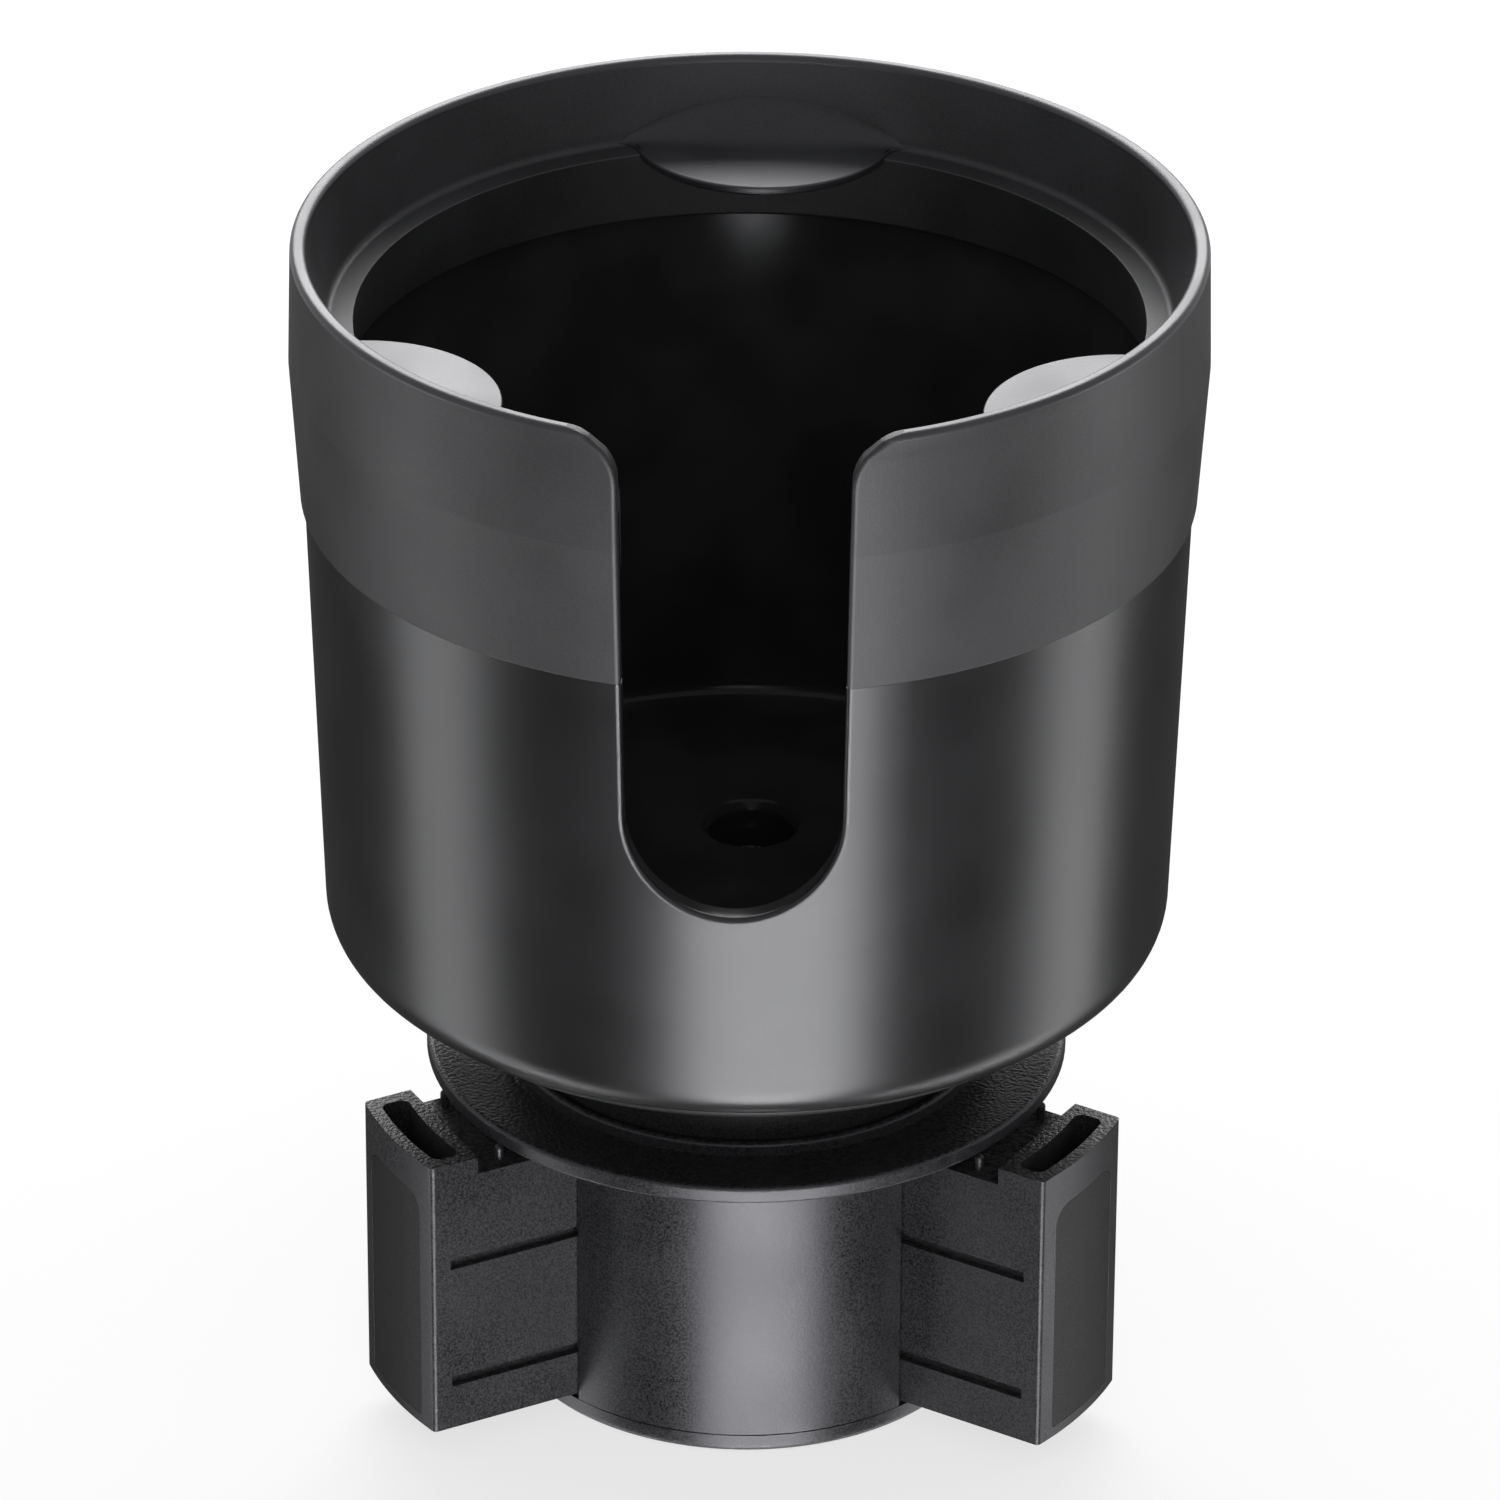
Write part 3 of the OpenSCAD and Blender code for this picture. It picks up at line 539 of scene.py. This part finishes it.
def cup_shell():
    """The cup: a leaning wall cut by a round-ended slot, a flat floor and three screw wells."""
    shape = Shape()
    edge, front_steps = PATCH_TURN, BEND_STEPS - 2 * SIDE_STEPS
    around = [mix(edge, 2 * math.pi - edge, k / AROUND_STEPS) for k in range(AROUND_STEPS + 1)]
    front = [mix(-edge, edge, k / front_steps) for k in range(front_steps + 1)]
    rows = SIDE_ROWS + [mix(SLOT_Z, PATCH_LOW, k / SIDE_STEPS) for k in range(SIDE_STEPS + 1)]
    low_out = foot_profile(wall_out, FOOT_Z, FOOT_ROUND, 14)
    hollow = [low_out[-1], (FOOT_HOLLOW_R, FOOT_Z), (FOOT_HOLLOW_R, CEILING_Z)]
    low_out += filleted(hollow, (0, 0.4, 0), closed=False)[1:]
    low_in = foot_profile(wall_in, FLOOR_Z, FLOOR_ROUND, 10)
    cuts, tops = [], []
    for radius_at, low, rounding, sign, slot in (
        (shell_out, low_out, CUT_ROUND_OUT, 1, 0), (wall_in, low_in, CUT_ROUND_IN, -1, 1),
    ):
        columns = [patch_line(*point, radius_at, rounding, sign) for point in slot_path()]
        shape.grid(columns, slot)
        high = [(radius_at(z), z) for z in rows]
        shape.grid([[round_at(r, a, z) for a in around] for r, z in high + low], slot)
        shape.grid([[round_at(r, a, z) for a in front] for r, z in [(radius_at(PATCH_LOW), PATCH_LOW)] + low], slot)
        cuts.append([line[0] for line in columns])
        tops.append(high[0])
    between = [tuple(mix(Vector(a), Vector(b), 0.5)) for a, b in zip(*cuts)]
    shape.grid([cuts[0], between, cuts[1]], 1)
    shape.grid([[round_at(r, a, z) for a in around] for r, z in tops], 0)
    add_wells(shape, around[:-1] + [a + 2 * math.pi for a in front[:-1]], low_in[-1], low_out[-1])
    return shape


def add_wells(shape, ring, floor_edge, ceiling_edge):
    """The three screw wells, and the flat floor and ceiling that they go through."""
    wells = [(WELL_AT * math.cos(math.radians(a)), WELL_AT * math.sin(math.radians(a))) for a in TAB_ANGLES]
    mouth_r, low = TOWER_R - FIT, FLOOR_Z - WELL_DEEP
    bottom = low - SCREW_SEAT
    well = filleted(
        [(mouth_r, FLOOR_Z), (WELL_R + MOUTH_W, FLOOR_Z), (WELL_R, FLOOR_Z - MOUTH_DEEP), (WELL_R, low),
         (SCREW_R, low), (SCREW_R, bottom), (TOWER_R, bottom), (TOWER_R, CEILING_Z)],
        (0, 1.0, 0.9, 0.4, 0.1, 0, 0.3, 0), steps=8, closed=False)
    for centre in wells:
        shape.turned(well, centre, WELL_STEPS, 1)
    for (r, z), hole, slot in ((floor_edge, mouth_r, 1), (ceiling_edge, TOWER_R, 0)):
        outline = [round_at(r, a, z) for a in ring]
        shape.flat([outline] + [circle(centre, hole, z, WELL_STEPS) for centre in wells], slot)


def collar_section():
    """The collar's section, a closed chain of radius and height, in its four parts: below, outside, rim, inside."""
    lip_out = wall_out(LIP_Z) + LIP_OUT
    lip_in = lip_out - LIP_W
    skirt = wall_in(LEDGE_Z) - SKIRT_IN
    levels = [LEDGE_Z + 1, 144.9, 145.8, 146.6, 147.6, 148.6, 149.6, 150.5]
    belly, ledge_out = (wall_out(BELLY_Z) + BELLY_OUT, BELLY_Z), (skirt + LEDGE_W, LEDGE_Z)

    def between(a, b, z):
        return (mix(a[0], b[0], (z - a[1]) / (b[1] - a[1])), z)

    outside = [between(belly, (lip_out, LIP_Z), z) for z in levels]
    inside = [between(ledge_out, (lip_in, LIP_Z), z) for z in reversed(levels)]
    rim = arc((lip_out - LIP_R, LIP_Z), LIP_R, 0, 90, 12) + arc((lip_in + LIP_R, LIP_Z), LIP_R, 90, 180, 12)
    below = [
        inside[-1], ledge_out, (skirt, LEDGE_Z),
        (wall_in(SKIRT_LOW) - SKIRT_THICK, SKIRT_LOW), (wall_in(SKIRT_LOW) - FIT, SKIRT_LOW),
        (wall_in(SHELL_TOP) - FIT, SHELL_TOP + FIT), (wall_out(SHELL_TOP) - STEP + FIT, SHELL_TOP + FIT),
        (wall_out(COLLAR_LOW) - STEP + FIT, COLLAR_LOW), (wall_out(COLLAR_LOW) + COLLAR_OUT, COLLAR_LOW),
        belly, outside[0],
    ]
    below = filleted(below, (0, 0.9, 0.15, 0.5, 0.3, 0, 0, 0.3, 0.35, 2.5, 0), steps=4, closed=False)
    return below[:-1], outside, rim, inside[:-1]


def collar_edge(section):
    """The lines that round the collar's edge at the slot: radius, height and distance from the middle plane."""
    normals = []
    for i in range(len(section)):
        along = (Vector(section[(i + 1) % len(section)]) - Vector(section[i - 1])).normalized()
        normals.append((along.y, -along.x))
    lines = []
    for out, depth in edge_steps(COLLAR_EDGE):
        line = []
        for (r, z), (nr, nz) in zip(section, normals):
            rise = max(-1.0, min(1.0, (z - CORNER_Z) / CORNER))
            lean = math.asin(min(1.0, slot_side(z) / r))
            meet = max(0.0, rise * nz - math.sqrt(1 - max(0.0, rise) ** 2) * nr * math.sin(lean))
            share = max(0.02, 1 - meet) if z > CORNER_Z else 1.0
            pr, pz = r - nr * depth * share, z - nz * depth * share
            line.append((pr, pz, slot_side(pz, out * share)))
        lines.append(line)
    return lines


def grip_collar():
    """The soft collar: one closed section swept round, each point starting at the slot's side, and three tabs."""
    shape = Shape()
    below, outside, rim, inside = collar_section()
    lines = collar_edge(below + outside + rim + inside)
    columns = [[(x, -math.sqrt(r * r - x * x), z) for r, z, x in line] for line in lines]
    sweep_steps = 176
    for k in range(1, sweep_steps):
        row = []
        for r, z, x in lines[-1]:
            turn = math.asin(x / r)
            row.append(round_at(r, mix(turn, 2 * math.pi - turn, k / sweep_steps), z))
        columns.append(row)
    columns += [[(-x, y, z) for x, y, z in line] for line in reversed(columns[:len(lines)])]
    low_end = len(below)
    rim_start = low_end + len(outside)
    rim_end = rim_start + len(rim) - 1
    for pair in zip(columns, columns[1:]):
        shape.grid([line[:rim_start + 1] for line in pair])
        shape.grid([line[rim_start:rim_end + 1] for line in pair], 1)
        shape.grid([line[rim_end:] + line[:1] for line in pair])
    for end in (columns[0], columns[-1]):
        shape.flat([end[:low_end + 1]])
        upper = end[low_end:] + end[:1]
        pairs = [(Vector(upper[i]), Vector(upper[-1 - i])) for i in range((len(upper) + 1) // 2)]
        shape.grid([[a, mix(a, b, 0.5), b] for a, b in pairs])
    for angle in TAB_ANGLES:
        add_tab(shape, angle)
    return shape


def tab_outline(wall_r, centre, steps):
    """A tab's outline from wall to wall round its tip, with a concave corner at the wall."""
    in_r = wall_r - TAB_ROOT
    end = math.acos((in_r ** 2 + centre ** 2 - (TAB_R + TAB_ROOT) ** 2) / (2 * in_r * centre))
    hub = Vector((in_r * math.cos(end), in_r * math.sin(end)))
    to_hub = hub - Vector((centre, 0))
    turn = math.atan2(to_hub.y, -to_hub.x)
    tip = [(centre - TAB_R * math.cos(turn * k / steps), TAB_R * math.sin(turn * k / steps)) for k in range(steps)]
    angles = [mix(math.pi * 2 - turn, end + 2 * math.pi, k / 12) for k in range(13)]
    half = tip + [(hub.x + TAB_ROOT * math.cos(a), hub.y + TAB_ROOT * math.sin(a)) for a in angles]
    return [(x, -y) for x, y in reversed(half[1:])] + half


def add_tab(shape, angle):
    """A tab: a thin round tongue whose top sweeps up into the leaning wall above the ledge."""
    skirt = wall_in(LEDGE_Z) - SKIRT_IN
    wall_r, top = skirt + LEDGE_W, LEDGE_Z + TAB_LIFT
    turn = math.pi / 2 - math.radians(TAB_LEAN)
    outline = tab_outline(wall_r, skirt - TAB_REACH + TAB_R, 30)
    ends = max(math.atan2(y, x) for x, y in outline)
    flat_steps, sweep_steps = 8, 12
    steps = edge_steps(TAB_EDGE, 4)
    spin = math.radians(angle)
    rows = []
    for i, (x, y) in enumerate(outline):
        ahead, behind = outline[min(i + 1, len(outline) - 1)], outline[max(i - 1, 0)]
        along = Vector((ahead[0] - behind[0], ahead[1] - behind[1])).normalized()
        inward = Vector((along.y, -along.x))
        across = math.atan2(y, x) / ends
        near_wall = min(1.0, max(0.0, (wall_r - math.hypot(x, y)) / TAB_FADE))
        radius = SWEEP_LEAST + SWEEP_MORE * (1 - across * across) ** SWEEP_POWER
        leg = min(radius * math.tan(turn / 2), max(0.02, wall_r - math.hypot(x, y)))
        radius = leg / math.tan(turn / 2)

        def at(out, drop):
            return (x + inward.x * out * near_wall, y + inward.y * out * near_wall, top - drop)

        row = [at(TAB_UNDER, TAB_THICK), at(TAB_EDGE, TAB_THICK)]
        row += [at(out, TAB_THICK - depth) for out, depth in reversed(steps[:-1])]
        row += [at(out, depth) for out, depth in steps]
        tip = row[-1]
        phi = across * ends
        foot = wall_r - leg
        goal = (foot * math.cos(phi), foot * math.sin(phi))
        for m in range(1, flat_steps + 1):
            row.append((mix(tip[0], goal[0], m / flat_steps), mix(tip[1], goal[1], m / flat_steps), top))
        for m in range(1, sweep_steps + 1):
            a = turn * m / sweep_steps
            r, z = foot + radius * math.sin(a), top + radius * (1 - math.cos(a))
            row.append((r * math.cos(phi), r * math.sin(phi), z))
        rows.append([(px * math.cos(spin) - py * math.sin(spin), px * math.sin(spin) + py * math.cos(spin), pz)
                     for px, py, pz in row])
    foot_at = len(rows[0]) - sweep_steps - 1
    shape.grid([row[:foot_at + 1] for row in rows], 1)
    shape.grid([row[foot_at:] for row in rows])


# Legs: sizes shared with the CAD model, for a leg along +X
LEG_R, LEG_HALF, LEG_LOW, LEG_TOP, LEG_DECK = 49.6, 9.35, 3.5, 41.5, 39.2
LEG_IN, LEG_IN_HALF, LEG_SHOULDER = 20.3, 8.88, 20.57
BLOCK_IN = 42.3
GROOVE_END, GROOVE_DEEP, GROOVE_HIGH, GROOVES_Z = 46.2, 1, 1.45, (9.5, 26.4)
POCKET_SIDE, POCKET_OUT, POCKET_IN, POCKET_CORNER, POCKET_DEEP = 1.75, 1.7, 5.3, 1.2, 10
HOLLOWS, HOLLOW_HALF, DECK_THICK = ((24.9, 32.6), (34.6, 42.3)), 6.35, 2
POST_X, POST_Y, POST_R, POST_TOP = 38.5, 7.5, 0.55, 40.85
PAD_HALF, PAD_LOW, PAD_HIGH, PAD_ROUND = 6.6, 4.9, 36.4, 2.7
PAD_GAP, RECESS_DEEP, PAD_BACK, PAD_FACE = 0.05, 0.9, 0.85, 0.02

# How far the cutting blocks reach: inward, to the sides, upward, outward and past the face that they cut
CUT_IN, CORE_IN, PAD_IN, CUT_SIDE, CUT_HIGH, CUT_OUT, PAST = 10, 30, 40, 12, 60, 60, 1


def prism(name, outline, low, high, axis="Z"):
    """A closed prism; the outline lies in the XY plane, or in the YZ plane for axis X."""
    count = len(outline)
    if axis == "Z":
        points = [(x, y, z) for z in (low, high) for x, y in outline]
    else:
        points = [(x, y, z) for x in (low, high) for y, z in outline]
    faces = [tuple(range(count))[::-1], tuple(range(count, 2 * count))]
    faces += [(i, (i + 1) % count, (i + 1) % count + count, i + count) for i in range(count)]
    mesh = bpy.data.meshes.new(name)
    mesh.from_pydata([Vector(p) * MM for p in points], [], faces)
    weld(mesh)
    return linked(name, mesh)


def box(name, x, y, z):
    outline = [(x[0], y[0]), (x[1], y[0]), (x[1], y[1]), (x[0], y[1])]
    return prism(name, outline, *z)


def carved(body, cutters, operation="DIFFERENCE"):
    """The body's mesh after each cutter; the cutters and the body are removed."""
    for i, cutter in enumerate(cutters):
        cut = body.modifiers.new(f"cut_{i}", "BOOLEAN")
        cut.operation = operation
        cut.object = cutter
        cut.solver = "EXACT"
    graph = bpy.context.evaluated_depsgraph_get()
    mesh = bpy.data.meshes.new_from_object(body.evaluated_get(graph))
    for piece in [body] + cutters:
        bpy.data.objects.remove(piece)
    return mesh


def face_arc(radius, half, steps):
    """Points of the circle about the axis between two offsets from the leg's middle."""
    turn = math.asin(half / radius)
    angles = [mix(-turn, turn, k / steps) for k in range(steps + 1)]
    return [(radius * math.cos(a), radius * math.sin(a)) for a in angles]


def pocket_outline():
    corner = POCKET_CORNER
    out_r, in_r = LEG_R - POCKET_OUT, LEG_R - POCKET_IN
    y = LEG_HALF - POCKET_SIDE - corner
    c_out, c_in = [(math.sqrt(r * r - y * y), y) for r in (out_r - corner, in_r + corner)]
    a_out, a_in = [math.degrees(math.atan2(c[1], c[0])) for c in (c_out, c_in)]
    upper = arc(c_out, corner, a_out, 90, 5) + arc(c_in, corner, 90, 180 + a_in, 5)
    lower = [(x, -y) for x, y in reversed(upper)]
    return arc((0, 0), out_r, -a_out, a_out, 16)[1:-1] + upper + arc((0, 0), in_r, a_in, -a_in, 16)[1:-1] + lower


def pad_prism(name, grow):
    """A block with the pad's outline, grown on all sides, that reaches past the leg's face."""
    half, low, high = PAD_HALF + grow, PAD_LOW - grow, PAD_HIGH + grow
    corners = [(-half, low), (half, low), (half, high), (-half, high)]
    return prism(name, filleted(corners, (0.3, 0.3, PAD_ROUND, PAD_ROUND), steps=8), PAD_IN, CUT_OUT, "X")


def sector(name, radius):
    """A block whose outer face lies on a circle about the axis."""
    outline = face_arc(radius, CUT_SIDE, 48) + [(CORE_IN, CUT_SIDE), (CORE_IN, -CUT_SIDE)]
    return prism(name, outline, 0, CUT_HIGH)


def joined(*meshes):
    work = bmesh.new()
    for mesh in meshes:
        work.from_mesh(mesh)
    work.to_mesh(meshes[0])
    work.free()
    return meshes[0]


def leg_mesh():
    face = face_arc(LEG_R, LEG_HALF, 24)
    inner = [(LEG_SHOULDER, LEG_HALF), (LEG_IN, LEG_IN_HALF), (LEG_IN, -LEG_IN_HALF), (LEG_SHOULDER, -LEG_HALF)]
    radii = [0.6] + [0] * (len(face) - 2) + [0.6] + [0] * 4
    body = prism("leg", filleted(face + inner, radii), LEG_LOW, LEG_TOP)
    cutters = [box("deck", (CUT_IN, BLOCK_IN), (-CUT_SIDE, CUT_SIDE), (LEG_DECK, LEG_TOP + PAST))]
    for side in (-1, 1):
        y = sorted((side * (LEG_HALF - GROOVE_DEEP), side * (LEG_HALF + PAST)))
        cutters += [box("groove", (CUT_IN, GROOVE_END), y, (z, z + GROOVE_HIGH)) for z in GROOVES_Z]
    cutters.append(prism("pocket", pocket_outline(), LEG_TOP - POCKET_DEEP, LEG_TOP + PAST))
    for x in HOLLOWS:
        cutters.append(box("hollow", x, (-HOLLOW_HALF, HOLLOW_HALF), (LEG_LOW - PAST, LEG_DECK - DECK_THICK)))
    recess = carved(pad_prism("recess", PAD_GAP), [sector("core", LEG_R - RECESS_DEEP)])
    cutters.append(linked("recess", recess))
    mesh = carved(body, cutters)
    posts = Shape()
    dome = arc((0, POST_TOP), POST_R, 0, 90, 5)
    for side in (-1, 1):
        posts.turned([(POST_R, LEG_DECK - 0.3)] + dome, (POST_X, side * POST_Y), 16)
    return joined(mesh, posts.mesh("posts"))


def pad_mesh():
    block = carved(pad_prism("pad", 0), [sector("core", LEG_R - PAD_BACK)])
    return carved(linked("pad", block), [sector("face", LEG_R - PAD_FACE)], "INTERSECT")


def leg_piece(mesh, kind, side, angle, material, bevel):
    """A turned copy of a leg's or pad's mesh, on its body, with its edges rounded."""
    node = f"{kind}_{side}"
    copy = mesh.copy()
    copy.name = node
    copy.transform(Matrix.Rotation(math.radians(angle), 4, "Z"))
    placed(copy, f"{side}_leg", [node], [material], bevel)


make_camera()
make_world()
make_floor()
make_dark_card()
under_lamp("front_glow", 8.5, 24.5, 17.0)
under_lamp("left_glow", -85, 13, 5.0)
under_lamp("right_glow", 97.5, 12.5, 4.9)
area_lamp("back_box", 182, 31, 1.0, 0.8, 0.5, 9.0)
area_lamp("front_box", 8, 25, 1.2, 0.4, 0.5, 1.5)

cup_satin = surface("cup_satin", (0.009, 0.0093, 0.0102), 0.30, 0.25, grain_mm=0.25, grain=0.003, uneven=0.03)
cup_gloss = surface("cup_gloss", (0.021, 0.0212, 0.0222), 0.13, 0.07, grain_mm=0.3, grain=0.001, uneven=0.02)
collar_rubber = surface("collar_rubber", (0.014, 0.0143, 0.0155), 0.5, 0.25, grain_mm=0.25, grain=0.004,
                        speckle=0.2, wear_and_sheen=0)
tab_rubber = surface("tab_rubber", (0.013, 0.0133, 0.0145), 0.42, 0.4, grain_mm=0.25, grain=0.005, wear_and_sheen=0,
                     tint=BLUISH)
drum_plastic = surface("drum_plastic", (0.009, 0.0092, 0.0100), 0.29, 0.25, grain_mm=0.27, grain=0.006,
                       speckle=1.0, sparkle=0.12, top_grain=6.0, tint=BLUISH)
leg_plastic = surface("leg_plastic", (0.010, 0.0102, 0.0110), 0.31, 0.2, grain_mm=0.27, grain=0.006,
                      speckle=1.0, sparkle=0.16, top_grain=6.0, tint=BLUISH)
neck_plastic = surface("neck_plastic", (0.009, 0.0092, 0.0100), 0.42, 0.09, grain_mm=0.27, grain=0.006,
                       speckle=0.6)
pad_rubber = surface("pad_rubber", (0.005, 0.005, 0.0054), 0.5, 0.13, grain_mm=0.27, grain=0.006,
                     speckle=0.8, wear_and_sheen=0.1)
slip_plastic = surface("slip_plastic", (0.62, 0.60, 0.53), 0.35, 0.5, grain_mm=0.5, grain=0.004, wear_and_sheen=0.1)
cam_plastic = surface("cam_plastic", (0.10, 0.103, 0.107), 0.38, 0.5, grain_mm=0.4, grain=0.004, wear_and_sheen=0.3)
steel = surface("steel", (0.58, 0.58, 0.59), 0.3, 0.5, metallic=1.0, grain_mm=0.15, grain=0.003, wear_and_sheen=0.3)

placed(cup_shell().mesh("cup_wall"), "cup", ["cup_shell"], [cup_satin, cup_gloss])
placed(grip_collar().mesh("soft_collar"), "cup", ["grip_collar"], [collar_rubber, tab_rubber])
leg, pad = leg_mesh(), pad_mesh()
for side, angle in zip(("rear", "left", "right"), TAB_ANGLES):
    leg_piece(leg, "leg", side, angle, leg_plastic, 0.3)
    leg_piece(pad, "pad", side, angle, pad_rubber, 0.25)

# The pieces that keep their CAD shape: the neck is duller than the drum, and the rest go by their material slot
finishes = {"drum_plastic": drum_plastic, "slip_plastic": slip_plastic, "cam_plastic": cam_plastic, "steel": steel}
for part in frame["record"]["subparts"]:
    finish = neck_plastic if part["node"] == "neck" else finishes.get(part["material_slot"])
    if finish:
        mesh = frame["nodes"][part["node"]].data
        mesh.materials.clear()
        mesh.materials.append(finish)

bpy.context.scene.view_settings.view_transform = "Standard"
